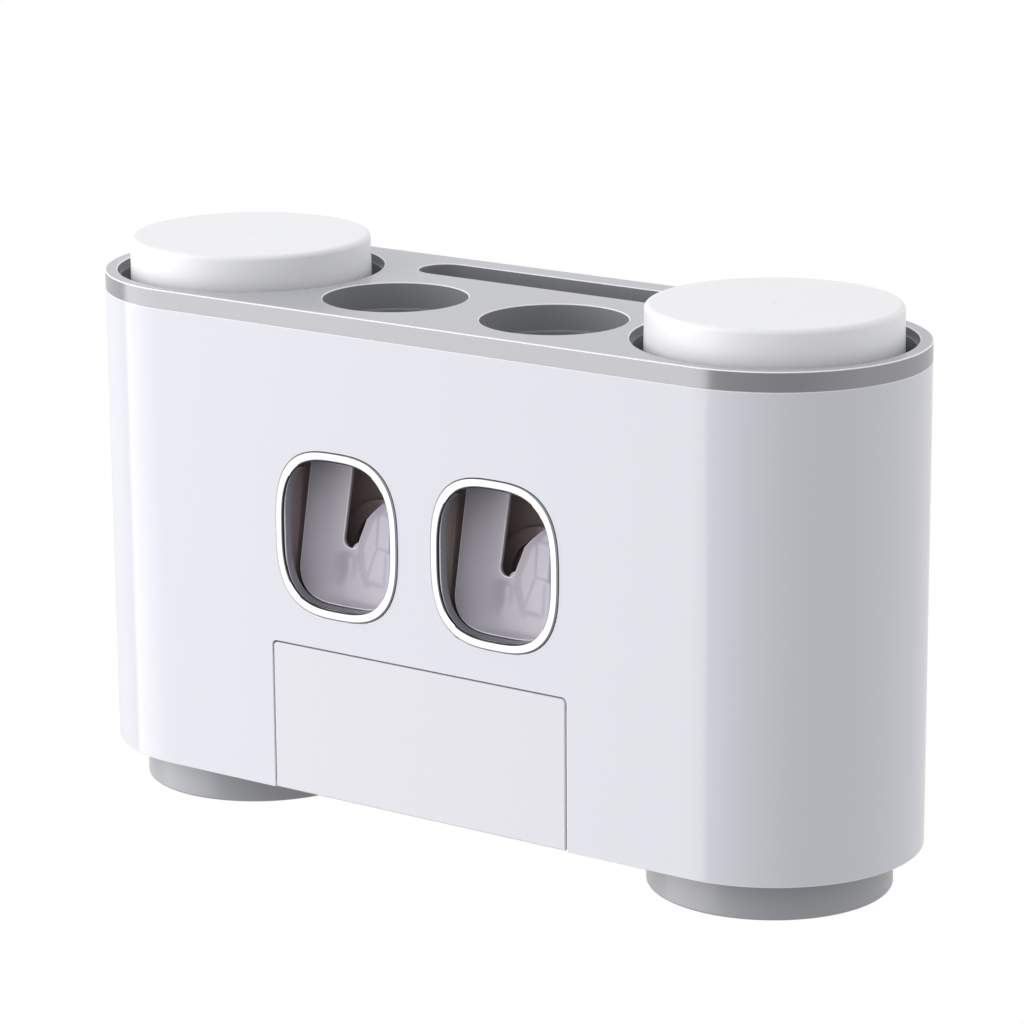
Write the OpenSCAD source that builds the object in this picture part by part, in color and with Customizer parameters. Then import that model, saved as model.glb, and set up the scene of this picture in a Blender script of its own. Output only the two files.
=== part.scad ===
// Wall mounted toothpaste dispenser with two squeezers, four cups and a brush compartment.
// Sizes are in millimetres. X runs to the right, Y towards the wall and Z up.
// The origin lies on the wall, behind the middle of the wall plate.

/* [Housing] */
// Width of the housing over its round ends
body_w = 311.1; // [280:0.1:345]
// Depth of the housing from front to back
body_d = 100; // [90:0.5:110]
// Height of the white shell
shell_h = 159.8; // [143.8:0.2:176]
// Wall of the white shell
shell_wall = 2.4; // [2:0.1:2.6]
// Height of the grey rim band on top of the shell
rim_h = 6.3; // [5.5:0.1:9]
// Thickness of the top cover's plate
cover_t = 3; // [2.4:0.1:3.4]
// Thickness of the bottom plate
plate_t = 2.4; // [2:0.1:3]
// How far the bottom plate lies above the shell's lower edge
plate_inset = 0.5; // [0.3:0.1:1]
// Gap between housing parts that are fitted together
fit_gap = 0.15; // [0.1:0.05:0.25]

/* [Cups] */
// Gap between an upper cup's mouth and its bay
cup_clear = 2.6; // [1:0.1:4]
// How much wider a cup is at its mouth than at its base
cup_flare = 1.3; // [0.6:0.1:1.6]
// How far an upper cup stands out above the top cover
cup_proud = 11.2; // [8:0.1:20]
// Gap between a lower cup's mouth and its bay
lower_clear = 4.8; // [2.5:0.1:6]
// How far a lower cup hangs out below the housing
lower_drop = 14.5; // [11:0.5:18]
// Wall of a cup
cup_wall = 1.9; // [1.5:0.1:2.4]
// Thickness of a cup's base
cup_base_t = 3; // [2.6:0.1:4]
// Radius of the round edge of a cup's base
cup_edge_r = 1.8; // [1:0.1:2.4]
// How much wider the cover's cup opening is than the bay below it
well_step = 0.8; // [0.4:0.1:1]
// Gap between a cup bay and the shell
bay_clear = 1.2; // [0.8:0.1:1.6]
// Wall of a cup bay
bay_wall = 1.4; // [1.2:0.1:1.6]
// Thickness of the floor between an upper and a lower cup
partition_t = 5; // [4.6:0.1:6.5]
// How far that floor's underside lies below half the housing's height
floor_below = 3.75; // [2:0.25:6]
// Gap between a cup and the floor it stands on or hangs from
seat_gap = 0.3; // [0.2:0.05:0.4]
// Radius of the magnet in a bay's floor
magnet_r = 12; // [9:0.5:15]
// Thickness of that magnet
magnet_t = 3; // [2:0.2:3.6]
// Thickness of the steel disc in a lower cup's base
disc_t = 1.2; // [0.8:0.1:1.6]

/* [Tube ports and rear slot] */
// Distance of a tube port's centre from the front face
port_from_front = 34.3; // [34:0.1:36]
// How much smaller a tube port's radius is than half the width of a squeezer
port_margin = 2.3; // [2:0.1:3]
// Wall of a port's sleeve
sleeve_wall = 1.4; // [1.2:0.1:2]
// How far each ledge in a sleeve steps in
ledge_step = 1.05; // [0.9:0.05:1.3]
// Depth of the upper ledge below the top
ledge_depth = 9; // [7:0.5:12]
// Gap between the rear slot and the cup openings beside it
slot_gap = 10.5; // [4.6:0.1:20]
// Width of the rear slot
slot_w = 18.2; // [14:0.2:18.6]
// Distance of the rear slot's middle line from the back face
slot_from_back = 18.5; // [18.3:0.1:19.5]
// Depth of the tray below the top cover
tray_depth = 45; // [25:1:47]
// Wall of the tray
tray_wall = 1.6; // [1.2:0.1:2]

/* [Windows] */
// Distance of the windows' centre below the top
window_drop = 74.8; // [73:0.1:78]
// How much narrower a window ring is on each side than its squeezer
ring_margin = 1.5; // [1:0.1:1.9]
// Half the height of a window ring
ring_b = 28.3; // [28:0.1:28.8]
// Width of the ring's face
ring_face = 3.45; // [3.2:0.05:3.7]
// How far the ring stands out of the front face
ring_proud = 0.5; // [0:0.1:1]
// Squareness of the ring's outline, where 2 is an ellipse
ring_n = 2.9; // [2.6:0.1:3.4]

/* [Squeezer] */
// Gap between a squeezer and the cup bay beside it
pump_gap = 0.75; // [0.4:0.05:1]
// Distance of a squeezer from the middle of the housing
pump_middle = 5.4; // [5:0.1:5.6]
// Wall of a squeezer body
pump_wall = 2; // [1.7:0.1:2.2]
// Depth of the lever's cavity behind the front face
cavity_depth = 28.5; // [27.5:0.1:30]
// Thickness of the solid block behind the cavity
block_t = 13.5; // [12:0.1:15]
// How much narrower the push lever's scoop is on each side than the window
scoop_margin = 0.5; // [0.4:0.05:1]
// Hollow of the scoop
scoop_sag = 5.5; // [4.5:0.1:6]
// Wall of the scoop
scoop_wall = 1.5; // [1.2:0.1:1.8]
// Distance of the upright scoop's rim behind the front face
scoop_rim = 12; // [11.9:0.1:12.4]
// How far the scoop leans forward at rest, in degrees
lever_lean = 7; // [6:0.1:7]
// Radius of the lever's pin
pin_r = 1.5; // [1.2:0.1:1.8]
// Running clearance on a pin
pin_clear = 0.05; // [0.03:0.01:0.08]
// Height of the lever's pin above the window's centre
pin_up = 33.5; // [33:0.1:34]
// Distance of the lever's pin behind the front face
pin_depth = 19; // [18.6:0.1:19.4]
// Radius of the pump bulb's dome
bulb_r = 11; // [10:0.1:11.2]
// Height of the pump bulb's dome
bulb_h = 9.5; // [8.8:0.1:9.8]
// Wall of the pump bulb
bulb_wall = 1.2; // [0.9:0.1:1.5]
// How far the bulb's centre lies below the window's centre
bulb_down = 9; // [8:0.5:11]
// Radius of the tube socket's bore
socket_bore_r = 6.75; // [5:0.05:8]
// Length of the tube socket's bore
socket_bore_l = 9; // [7:0.5:10]
// Radius of the nozzle
nozzle_r = 4; // [3.2:0.1:4.4]
// How far the nozzle's tip lies above the window's centre
nozzle_tip = 22.5; // [21.5:0.5:26]

/* [Door and brush compartment] */
// Gap between the brush compartment and the cup bays beside it
bay_gap = 1.55; // [1:0.05:6]
// Distance of the door's upper edge below the window rings
door_drop = 11.65; // [11.4:0.05:15]
// Thickness of the door's panel
door_t = 2.3; // [2.1:0.1:2.35]
// Gap round the door
door_gap = 0.45; // [0.4:0.05:0.6]
// Radius of the door's round upper edge
door_edge_r = 1.2; // [1.1:0.1:1.4]
// Distance of the door's hinge axis behind the front face
hinge_in = 2.2; // [2.2:0.05:2.3]
// Distance of the door's hinge axis below its upper edge
hinge_down = 2.65; // [2.6:0.05:2.8]
// Radius of the door's hinge pins
door_pin_r = 1.1; // [0.9:0.05:1.2]
// Depth of the brush compartment behind the front face
brush_depth = 30; // [26:0.5:30.4]
// Gap between the brush compartment and the squeezers above it
ceiling_gap = 2.6; // [1.5:0.1:3]
// Number of brush slots
brush_count = 5; // [3:1:5]
// Distance of the outermost brush slots from the compartment's side walls
brush_margin = 14.8; // [10:0.1:20]
// Width of a brush slot
brush_slot_w = 9; // [7:0.5:10]
// Length of a brush slot from the rack's front edge
brush_slot_l = 17; // [12:0.5:18]

/* [Back and wall plate] */
// Distance of the wall plate's centre below the shell's top
plate_drop = 54.8; // [48:0.5:60]
// Width of the wall plate
plate_w = 110; // [104:1:130]
// Height of the wall plate
plate_h = 30; // [26:1:32]
// Thickness of the wall plate
wall_plate_t = 2.2; // [1.8:0.1:2.4]
// Thickness of the adhesive pad
pad_t = 0.8; // [0.5:0.1:1]
// Distance between the wall plate's screw holes
screw_spacing = 80; // [70:1:84]
// Radius of those screw holes
screw_hole_r = 2.25; // [1.75:0.05:2.5]
// Distance between the two hooks
hook_spacing = 36; // [30:1:40]
// Width of a hook
hook_w = 14; // [10:0.5:16]
// Height of a hook's finger above its stem
hook_rise = 6; // [4:0.5:7]
// Height of a hook's stem
hook_stem = 3; // [2.5:0.5:4]
// How far the housing lifts to come off the hooks
lift = 7.5; // [7:0.5:9]
// Gap between the housing's back and the wall
wall_gap = 0.2; // [0.1:0.1:0.5]
// Distance of the back opening's sides from the cup bays' centres
back_side = 25.55; // [24.6:0.05:30]
// Distance of the back opening's upper edge below the shell's top
back_drop = 13.8; // [10:0.2:20]
// Height of that opening's lower edge above the housing's bottom
back_z = 14; // [12:1:18]
// Thickness of the back panel
back_t = 2.2; // [1.8:0.1:2.4]

/* [Hidden] */
$fn = 96;
LEFT = -1;
RIGHT = 1;

// Colours
WHITE = [0.9, 0.9, 0.93];
CUP_WHITE = [0.95, 0.95, 0.96];
GREY = [0.78, 0.79, 0.81];
DARK_GREY = [0.6, 0.61, 0.64];
TAUPE = [0.36, 0.32, 0.31];
LILAC = [0.7, 0.69, 0.73];
CHROME = [0.85, 0.86, 0.88];
STEEL = [0.7, 0.71, 0.73];
CLEAR = [0.86, 0.89, 0.91];
RUBBER = [0.55, 0.56, 0.58];

// Planes and centres of the housing
front_y = -body_d / 2;
back_y = body_d / 2;
wall_y = back_y + wall_gap;
top_z = shell_h + rim_h;
cover_z = top_z - cover_t;
cup_x = (body_w - body_d) / 2;
plate_z = shell_h - plate_drop;
plate_top = plate_inset + plate_t;
inner_face = body_d / 2 - shell_wall;
cut = 1;
far = body_w;

// Cups and their bays
bay_outer_r = inner_face - bay_clear;
bay_r = bay_outer_r - bay_wall;
well_r = bay_r + well_step;
partition_z = top_z / 2 - floor_below;
cup_z = partition_z + partition_t + seat_gap;
cup_h = top_z + cup_proud - cup_z;
cup_base_r = bay_r - cup_clear - cup_flare;
lower_cup_h = partition_z - seat_gap + lower_drop;
lower_mouth_r = bay_r - lower_clear;
lower_base_r = lower_mouth_r - cup_flare;
lip_r = 0.5;
lip_h = 4;
lip_y = inner_face - fit_gap - tray_wall;

// Squeezers, their windows and ports
pump_half_w = (cup_x - bay_outer_r - pump_gap - pump_middle) / 2;
port_x = pump_middle + pump_half_w;
window_z = top_z - window_drop;
ring_a = pump_half_w - ring_margin;
ring_inner_a = ring_a - ring_face;
ring_inner_b = ring_b - ring_face;
port_r = pump_half_w - port_margin;
scoop_half_w = ring_inner_a - scoop_margin;

// Port sleeves
collar_gap = 0.75;
collar_r = port_r - 2 * ledge_step - collar_gap;
collar_top = 57;
collar_lap = 2.4;
sleeve_bottom = window_z + collar_top - collar_lap;

// Rear slot
slot_front = back_y - slot_from_back - slot_w / 2;
slot_l = 2 * (cup_x - sqrt(well_r * well_r - slot_front * slot_front) - slot_gap);

// Brush compartment and door
brush_back = body_d / 2 - brush_depth - tray_wall;
brush_clear = 0.05;
brush_half = cup_x - sqrt(bay_outer_r * bay_outer_r - brush_back * brush_back) - bay_gap - tray_wall;
brush_ceiling = window_z - ring_b - pump_wall - ceiling_gap - tray_wall;
brush_pitch = 2 * (brush_half - brush_margin) / max(brush_count - 1, 1);
frame_half = brush_half - brush_clear;
door_half = frame_half - door_gap;
door_w = 2 * door_half;
door_h = window_z - ring_b - door_drop;
frame_top = door_h + door_gap;
frame_wall = 1.6;
frame_depth = 5.6;
brush_front = frame_depth + 0.2;
hinge_z = door_h - hinge_down;
door_bottom = 0.3;
knuckle_r = hinge_in - 0.1;
knuckle_l = 8;
ear_l = 6;
ear_h = 8;
door_pin_in = 5.5;
return_t = 1.5;
return_in = 2;
return_depth = 5.8;
stiffener_t = 1.4;
rack_front = 6.5;
rack_t = 2.8;

// Squeezer
frame_y = shell_wall + 0.2;
frame_t = 1.6;
skirt_wall = 1.4;
ring_depth = 3.6;
pump_bottom = -ring_b - pump_wall;
cavity_top = pin_up + 4.5;
pump_top = cavity_top + pump_wall;
collar_floor = pump_top + 4;
scoop_r = (scoop_half_w * scoop_half_w + scoop_sag * scoop_sag) / (2 * scoop_sag);
scoop_axis = scoop_rim + scoop_sag - scoop_r;
scoop_floor = -ring_inner_b - 1.05;
scoop_top = 27;
rim_lean = 1.3;
arm_x = scoop_half_w - 3.05;
arm_front = scoop_rim + 2.3;
boss_r = 3.6;
boss_gap = 0.3;
arm_t = 3;
flange_r = bulb_r + 4;
flange_t = 1.2;
clamp_t = 1.9;
bulb_gap = 0.3;
pusher_r = 4;
collar_wall = 2;
socket_r = collar_r - collar_wall;
funnel_rim = 2.5;
chamber_depth = 8;
duct_r = 2.5;
guide_t = 0.6;

// Back
back_w = 2 * (cup_x - back_side);
back_h = shell_h - back_z - back_drop;
panel_y = back_y - back_t;
pocket_depth = wall_plate_t + pad_t - wall_gap + 0.4;
pocket_floor = 1.8;
pocket_side = 2;
screw_pitch_x = back_w - 9;
screw_pitch_z = back_h - 9;
ear_r = 4.5;
ear_depth = 6;
screw_r = 1.4;
screw_head_r = 2.8;
finger_t = 2.2;
stem_l = pocket_floor + 0.9;

function arc(x, y, r, from, to, steps) =
    [for (i = [0 : steps]) let (a = from + (to - from) * i / steps) [x + r * cos(a), y + r * sin(a)]];

// Part of an ellipse
function oval(x, y, a, b, from, to, steps) =
    [for (i = [0 : steps]) let (t = from + (to - from) * i / steps) [x + a * cos(t), y + b * sin(t)]];

// A rounded outline between an ellipse and a rectangle
function squircle(a, b, n, steps = 64) =
    [for (i = [0 : steps - 1]) let (t = 360 * i / steps, c = cos(t), s = sin(t))
        [a * sign(c) * pow(abs(c), 2 / n), b * sign(s) * pow(abs(s), 2 / n)]];

// Moves a part from the middle of the housing's underside to the origin on the wall
module on_wall() {
    translate([0, -wall_y, -plate_z]) children();
}

// Puts the front face's plane, a window's centre, at the local origin
module at_window(side) {
    on_wall() translate([side * port_x, front_y, window_z]) children();
}

module half_disc(r, h) {
    rotate_extrude(angle = 180, start = -90) square([r, h]);
}

module half_ring(r, wall, h) {
    rotate_extrude(angle = 180, start = -90) translate([r - wall, 0]) square([wall, h]);
}

// A plate with straight long sides and round ends
module stadium(w, d, h) {
    run = (w - d) / 2;
    translate([-run, -d / 2, 0]) cube([2 * run, d, h]);
    translate([run, 0, 0]) half_disc(d / 2, h);
    translate([-run, 0, 0]) rotate([0, 0, 180]) half_disc(d / 2, h);
}

module stadium_wall(w, d, wall, h) {
    run = (w - d) / 2;
    translate([-run, -d / 2, 0]) cube([2 * run, wall, h]);
    translate([-run, d / 2 - wall, 0]) cube([2 * run, wall, h]);
    translate([run, 0, 0]) half_ring(d / 2, wall, h);
    translate([-run, 0, 0]) rotate([0, 0, 180]) half_ring(d / 2, wall, h);
}

// A tall box with round ends, such as the rear slot
module slot_prism(l, w, h) {
    run = (l - w) / 2;
    translate([-run, -w / 2, 0]) cube([2 * run, w, h]);
    translate([run, 0, 0]) half_disc(w / 2, h);
    translate([-run, 0, 0]) rotate([0, 0, 180]) half_disc(w / 2, h);
}

// Extrudes an outline drawn in X and Z backwards from a depth behind the front face
module facing(from, to) {
    translate([0, to, 0]) rotate([90, 0, 0]) linear_extrude(to - from) children();
}

// Extrudes an outline drawn in Y and Z along X, with its middle at X = 0
module across(l) {
    rotate([90, 0, 90]) linear_extrude(l, center = true) children();
}

module rod_x(r, l) {
    rotate([0, 90, 0]) cylinder(r = r, h = l, center = true);
}

module rod_y(r, l) {
    rotate([-90, 0, 0]) cylinder(r = r, h = l);
}

module outer_shell() {
    color(WHITE) on_wall() {
        difference() {
            stadium_wall(body_w, body_d, shell_wall, shell_h);
            for (side = [LEFT, RIGHT]) {
                translate([side * port_x, front_y, window_z])
                    facing(-cut, shell_wall + cut)
                    polygon(squircle(ring_a + fit_gap, ring_b + fit_gap, ring_n));
            }
            translate([-frame_half, front_y - cut, -cut])
                cube([2 * frame_half, shell_wall + 2 * cut, frame_top + cut]);
            translate([-back_w / 2, inner_face - cut, back_z])
                cube([back_w, shell_wall + 2 * cut, back_h]);
            for (side = [-1, 1]) door_pin_hole(side);
        }
        door_frame();
        for (x = [-1, 1], z = [-1, 1]) screw_ear(x, z);
    }
}

// Raised frame behind the door's opening, with an ear for each hinge pin
module door_frame() {
    depth = frame_depth - shell_wall;
    translate([-frame_half - frame_wall, front_y + shell_wall, frame_top])
        cube([2 * (frame_half + frame_wall), depth, frame_wall]);
    for (side = [-1, 1]) {
        difference() {
            union() {
                translate([side * (frame_half + frame_wall / 2), front_y + shell_wall + depth / 2, frame_top / 2])
                    cube([frame_wall, depth, frame_top], center = true);
                translate([side * (frame_half + ear_l / 2), front_y + shell_wall + depth / 2, hinge_z])
                    cube([ear_l, depth, ear_h], center = true);
                translate([side * (frame_half + ear_l / 2), front_y + shell_wall, hinge_z])
                    cube([ear_l, shell_wall, ear_h], center = true);
            }
            door_pin_hole(side);
        }
    }
}

module door_pin_hole(side) {
    translate([side * (frame_half + door_pin_in / 2 - cut / 2), front_y + hinge_in, hinge_z])
        rod_x(door_pin_r, door_pin_in + cut);
}

// Block behind a corner of the back opening, with a pilot hole for a screw
module screw_ear(x, z) {
    reach = ear_r + 5.5;
    translate([x * screw_pitch_x / 2, inner_face - ear_depth, back_z + back_h / 2 + z * screw_pitch_z / 2])
        difference() {
            translate([x > 0 ? -ear_r : ear_r - reach - 0.5, 0, z > 0 ? -ear_r : ear_r - reach])
                cube([reach + 0.5, ear_depth + shell_wall - back_t, reach]);
            translate([0, -cut, 0]) rod_y(screw_r, ear_depth + 2 * cut);
        }
}

module top_cover() {
    lip_l = 2 * (cup_x - bay_clear - sqrt(bay_outer_r * bay_outer_r - lip_y * lip_y));
    color(GREY) on_wall() {
        difference() {
            translate([0, 0, cover_z]) stadium(body_w, body_d, cover_t);
            for (side = [LEFT, RIGHT]) {
                translate([side * cup_x, 0, cover_z - cut]) cylinder(r = well_r, h = cover_t + 2 * cut);
                translate([side * port_x, front_y + port_from_front, cover_z - cut])
                    cylinder(r = port_r, h = cover_t + 2 * cut);
            }
            translate([0, back_y - slot_from_back, cover_z - cut])
                slot_prism(slot_l, slot_w, cover_t + 2 * cut);
        }
        translate([0, 0, shell_h]) stadium_wall(body_w, body_d, shell_wall, rim_h - cover_t);
        for (y = [-1, 1]) {
            translate([0, y * (inner_face - fit_gap - tray_wall / 2), (shell_h - lip_h + cover_z) / 2])
                cube([lip_l, tray_wall, cover_z - shell_h + lip_h], center = true);
        }
    }
}

module storage_tray() {
    color(GREY) on_wall() translate([0, back_y - slot_from_back, cover_z - tray_depth]) difference() {
        slot_prism(slot_l + 2 * tray_wall, slot_w + 2 * tray_wall, tray_depth);
        translate([0, 0, tray_wall]) slot_prism(slot_l, slot_w, tray_depth);
    }
}

module port_sleeve(side) {
    length = cover_z - sleeve_bottom;
    ledge_z = top_z - ledge_depth - sleeve_bottom;
    color(GREY) on_wall() translate([side * port_x, front_y + port_from_front, sleeve_bottom]) difference() {
        cylinder(r = port_r + sleeve_wall, h = length);
        translate([0, 0, -cut]) cylinder(r = port_r - 2 * ledge_step, h = length + 2 * cut);
        translate([0, 0, ledge_z - 2.2]) cylinder(r = port_r - ledge_step, h = length);
        translate([0, 0, ledge_z]) cylinder(r = port_r, h = length);
    }
}

module bottom_plate() {
    clear = shell_wall + fit_gap;
    color(DARK_GREY) on_wall() difference() {
        translate([0, 0, plate_inset]) stadium(body_w - 2 * clear, body_d - 2 * clear, plate_t);
        for (side = [LEFT, RIGHT]) {
            translate([side * cup_x, 0, plate_inset - cut]) cylinder(r = bay_r, h = plate_t + 2 * cut);
        }
        translate([-brush_half - tray_wall - fit_gap, front_y, plate_inset - cut])
            cube([2 * (brush_half + tray_wall + fit_gap), brush_depth + tray_wall + fit_gap, plate_t + 2 * cut]);
    }
}

// Box behind the door, open to the front and below
module brush_bay() {
    depth = brush_depth - brush_front;
    color(GREY) on_wall() translate([0, front_y + brush_front, plate_inset]) difference() {
        translate([-brush_half - tray_wall, 0, 0])
            cube([2 * (brush_half + tray_wall), depth + tray_wall, brush_ceiling - plate_inset + tray_wall]);
        translate([-brush_half, -cut, -cut])
            cube([2 * brush_half, depth + cut, brush_ceiling - plate_inset + cut]);
    }
}

// Plate with a row of slots that hold the brushes by their necks
module brush_rack() {
    depth = brush_depth - rack_front - fit_gap;
    first = -(brush_count - 1) / 2 * brush_pitch;
    reach = brush_slot_l - brush_slot_w / 2;
    color(DARK_GREY) on_wall() translate([0, front_y + rack_front, plate_inset]) difference() {
        translate([-brush_half + fit_gap, 0, 0]) cube([2 * (brush_half - fit_gap), depth, rack_t]);
        for (i = [0 : brush_count - 1]) {
            translate([first + i * brush_pitch, 0, -cut]) {
                translate([-brush_slot_w / 2, -cut, 0]) cube([brush_slot_w, reach + cut, rack_t + 2 * cut]);
                translate([0, reach, 0]) half_disc_back(brush_slot_w / 2, rack_t + 2 * cut);
            }
        }
    }
}

module half_disc_back(r, h) {
    rotate_extrude(angle = 180, start = 0) square([r, h]);
}

module cup_bay(side) {
    low = plate_top;
    color(GREY) on_wall() translate([side * cup_x, 0, 0]) difference() {
        translate([0, 0, low]) cylinder(r = bay_outer_r, h = cover_z - low);
        translate([0, 0, partition_z + partition_t]) cylinder(r = bay_r, h = cover_z);
        translate([0, 0, low - cut]) cylinder(r = bay_r, h = partition_z - low + cut);
        translate([0, 0, partition_z - cut]) cylinder(r = magnet_r + fit_gap, h = magnet_t + cut);
    }
}

module bay_magnet(side) {
    color(STEEL) on_wall() translate([side * cup_x, 0, partition_z]) cylinder(r = magnet_r, h = magnet_t);
}

// A cup standing on its mouth, with its mouth at the local origin
module cup_body(mouth_r, base_r, h) {
    inner = base_r - cup_wall;
    outline = concat(
        [[0, h - cup_base_t]],
        arc(inner - cup_edge_r, h - cup_base_t - cup_edge_r, cup_edge_r, 90, 0, 5),
        [[mouth_r - cup_wall, lip_r], [mouth_r - cup_wall + lip_r, 0], [mouth_r - lip_r, 0]],
        arc(mouth_r - lip_r, lip_r, lip_r, -60, 0, 2),
        arc(base_r - cup_edge_r, h - cup_edge_r, cup_edge_r, 0, 90, 6),
        [[0, h]]
    );
    rotate_extrude() polygon(outline);
}

module upper_cup(side) {
    color(CUP_WHITE) on_wall() translate([side * cup_x, 0, cup_z])
        cup_body(cup_base_r + cup_flare, cup_base_r, cup_h);
}

module lower_cup(side) {
    color(DARK_GREY) on_wall() translate([side * cup_x, 0, -lower_drop]) difference() {
        cup_body(lower_mouth_r, lower_base_r, lower_cup_h);
        translate([0, 0, lower_cup_h - disc_t]) cylinder(r = magnet_r - 1 + fit_gap, h = disc_t + cut);
    }
}

module cup_disc(side) {
    color(STEEL) on_wall() translate([side * cup_x, 0, lower_cup_h - lower_drop - disc_t])
        cylinder(r = magnet_r - 1, h = disc_t);
}

module window_ring(side) {
    color(CHROME) at_window(side) difference() {
        union() {
            facing(-ring_proud, frame_y - 0.1) polygon(squircle(ring_a, ring_b, ring_n));
            facing(-ring_proud, ring_depth)
                polygon(squircle(ring_inner_a + skirt_wall, ring_inner_b + skirt_wall, ring_n + 0.3));
        }
        facing(-ring_proud - cut, ring_depth + cut)
            polygon(squircle(ring_inner_a, ring_inner_b, ring_n + 0.3));
    }
}

// Squeezer housing: lever cavity in front, pump block behind, tube collar on top
module pump_body(side) {
    hole = skirt_wall + 0.2;
    bottom = pump_bottom;
    tall = pump_top - bottom;
    color(TAUPE) at_window(side) difference() {
        union() {
            translate([-pump_half_w, frame_y, bottom])
                cube([2 * pump_half_w, cavity_depth + block_t - frame_y, tall]);
            translate([0, port_from_front, pump_top - pump_wall]) cylinder(r = collar_r, h = collar_top - pump_top + pump_wall);
            translate([-5, 6, pump_top - cut]) cube([10, port_from_front - 10, 5 + cut]);
        }
        facing(frame_y - cut, frame_y + frame_t + cut)
            polygon(squircle(ring_inner_a + hole, ring_inner_b + hole, ring_n + 0.3));
        translate([-pump_half_w + pump_wall, frame_y + frame_t, bottom + pump_wall])
            cube([2 * (pump_half_w - pump_wall), cavity_depth - frame_y - frame_t, cavity_top - bottom - pump_wall]);
        translate([0, pin_depth, pin_up]) rod_x(pin_r + 0.02, 2 * pump_half_w + 2 * cut);
        translate([0, cavity_depth - cut, -bulb_down]) rod_y(flange_r + fit_gap, flange_t + cut);
        translate([0, cavity_depth, -bulb_down]) rod_y(bulb_r - 1, chamber_depth);
        translate([0, port_from_front, -bulb_down]) cylinder(r = duct_r, h = collar_top + bulb_down);
        translate([0, port_from_front, collar_floor]) cylinder(r = socket_r + fit_gap, h = collar_top);
    }
    color(TAUPE) at_window(side) guide_ribs();
}

// Ribs on the cavity's side walls, beside the lever's rim
module guide_ribs() {
    lean = lever_lean + rim_lean;
    h = 52;
    for (x = [-pump_half_w + pump_wall - 0.1, pump_half_w - pump_wall - guide_t]) {
        translate([x, scoop_rim - 1.1, scoop_top - h / 2]) rotate([-lean, 0, 0])
            translate([0, 0, -h / 2]) cube([guide_t + 0.1, 1.1, h]);
    }
}

// Rubber socket that grips the neck of a tube
module tube_socket(side) {
    low = collar_floor;
    high = collar_top;
    neck = low + socket_bore_l;
    color(RUBBER) at_window(side) translate([0, port_from_front, 0]) rotate_extrude() polygon([
        [duct_r, low], [socket_r, low], [socket_r, high], [socket_r - funnel_rim, high],
        [socket_bore_r, neck], [socket_bore_r, low + funnel_rim], [duct_r, low + funnel_rim]
    ]);
}

module nozzle(side) {
    flange = 6;
    color(CLEAR) at_window(side) translate([0, 11, 0]) rotate_extrude() polygon([
        [1.6, nozzle_tip], [nozzle_r - 1.2, nozzle_tip], [nozzle_r, nozzle_tip + 3],
        [nozzle_r, cavity_top - 1.6], [flange, cavity_top - 1.6], [flange, cavity_top - 0.05],
        [1.6, cavity_top - 0.05]
    ]);
}

// Silicone dome with a flange, open to the pump chamber behind it
module pump_bulb(side) {
    r = (bulb_r * bulb_r + bulb_h * bulb_h) / (2 * bulb_h);
    rise = bulb_h - r;
    low = asin(-rise / r);
    inner = r - bulb_wall;
    inner_low = asin(-rise / inner);
    outline = concat(
        [[flange_r, -flange_t], [flange_r, 0]],
        arc(0, rise, r, low, 90, 10),
        arc(0, rise, inner, 90, inner_low, 10),
        [[inner * cos(inner_low), -flange_t]]
    );
    color(RUBBER) at_window(side) translate([0, cavity_depth, -bulb_down]) rotate([90, 0, 0])
        rotate_extrude() polygon(outline);
}

module bulb_clamp(side) {
    color(CLEAR) at_window(side) translate([0, cavity_depth - clamp_t, -bulb_down]) difference() {
        rod_y(flange_r + 1.2, clamp_t);
        translate([0, -cut, 0]) rod_y(bulb_r + 0.5, clamp_t + 2 * cut);
    }
}

module lever_pin(side) {
    color(STEEL) at_window(side) translate([0, pin_depth, pin_up]) rod_x(pin_r, 2 * pump_half_w);
}

// Lever with a scoop that a brush head pushes back, hung from the pin by two arms
module push_lever(side) {
    color(LILAC) at_window(side) translate([0, pin_depth, pin_up]) rotate([-lever_lean, 0, 0])
        translate([0, -pin_depth, -pin_up]) {
            difference() {
                union() {
                    scoop();
                    lever_arms();
                    pusher();
                }
                translate([0, pin_depth, pin_up]) rod_x(pin_r + pin_clear, 2 * pump_half_w);
            }
            rib_panels();
        }
}

module scoop() {
    corner = 12;
    outline = concat(
        [[scoop_r, scoop_top], [scoop_r + scoop_wall, scoop_top]],
        oval(scoop_r - scoop_sag, scoop_floor + corner, scoop_sag + scoop_wall, corner + scoop_wall, 0, -90, 10),
        oval(scoop_r - scoop_sag, scoop_floor + corner, scoop_sag, corner, -90, 0, 10)
    );
    difference() {
        translate([0, scoop_axis, 0]) rotate_extrude(angle = 90, start = 45) polygon(outline);
        translate([0, scoop_rim, scoop_floor]) rotate([-rim_lean, 0, 0])
            translate([-far / 2, -far, -far / 2]) cube([far, far, far]);
        notch();
    }
}

// Opening in the scoop's back that clears the nozzle, low on the right and tall on the left
module notch() {
    x = -3.5;
    r = 2.9;
    z = -4.4;
    right = arm_x - arm_t / 2 - 0.5;
    facing(scoop_rim + 1.2, cavity_depth) polygon(concat(
        arc(x, z, r, -180, -20, 10),
        arc(x + 13.7, z + 5.4, 8.3, 165, 100, 6),
        [[right, 12.2], [right, 34], [-9, 34], [-9, 24.5], [x - 1.1, 21.5]]
    ));
}

module lever_arms() {
    for (side = [-1, 1]) {
        translate([side * arm_x, 0, 0]) across(arm_t) polygon([
            [arm_front, 16], [arm_front + 3.1, 16], [pin_depth + boss_r - 0.4, pin_up - 1],
            [pin_depth, pin_up + boss_r - 0.3], [pin_depth - boss_r + 0.2, pin_up + 1], [arm_front, 26]
        ]);
        translate([side * (pump_half_w - pump_wall - boss_gap - 4), pin_depth, pin_up]) rod_x(boss_r, 8);
    }
}

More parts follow.
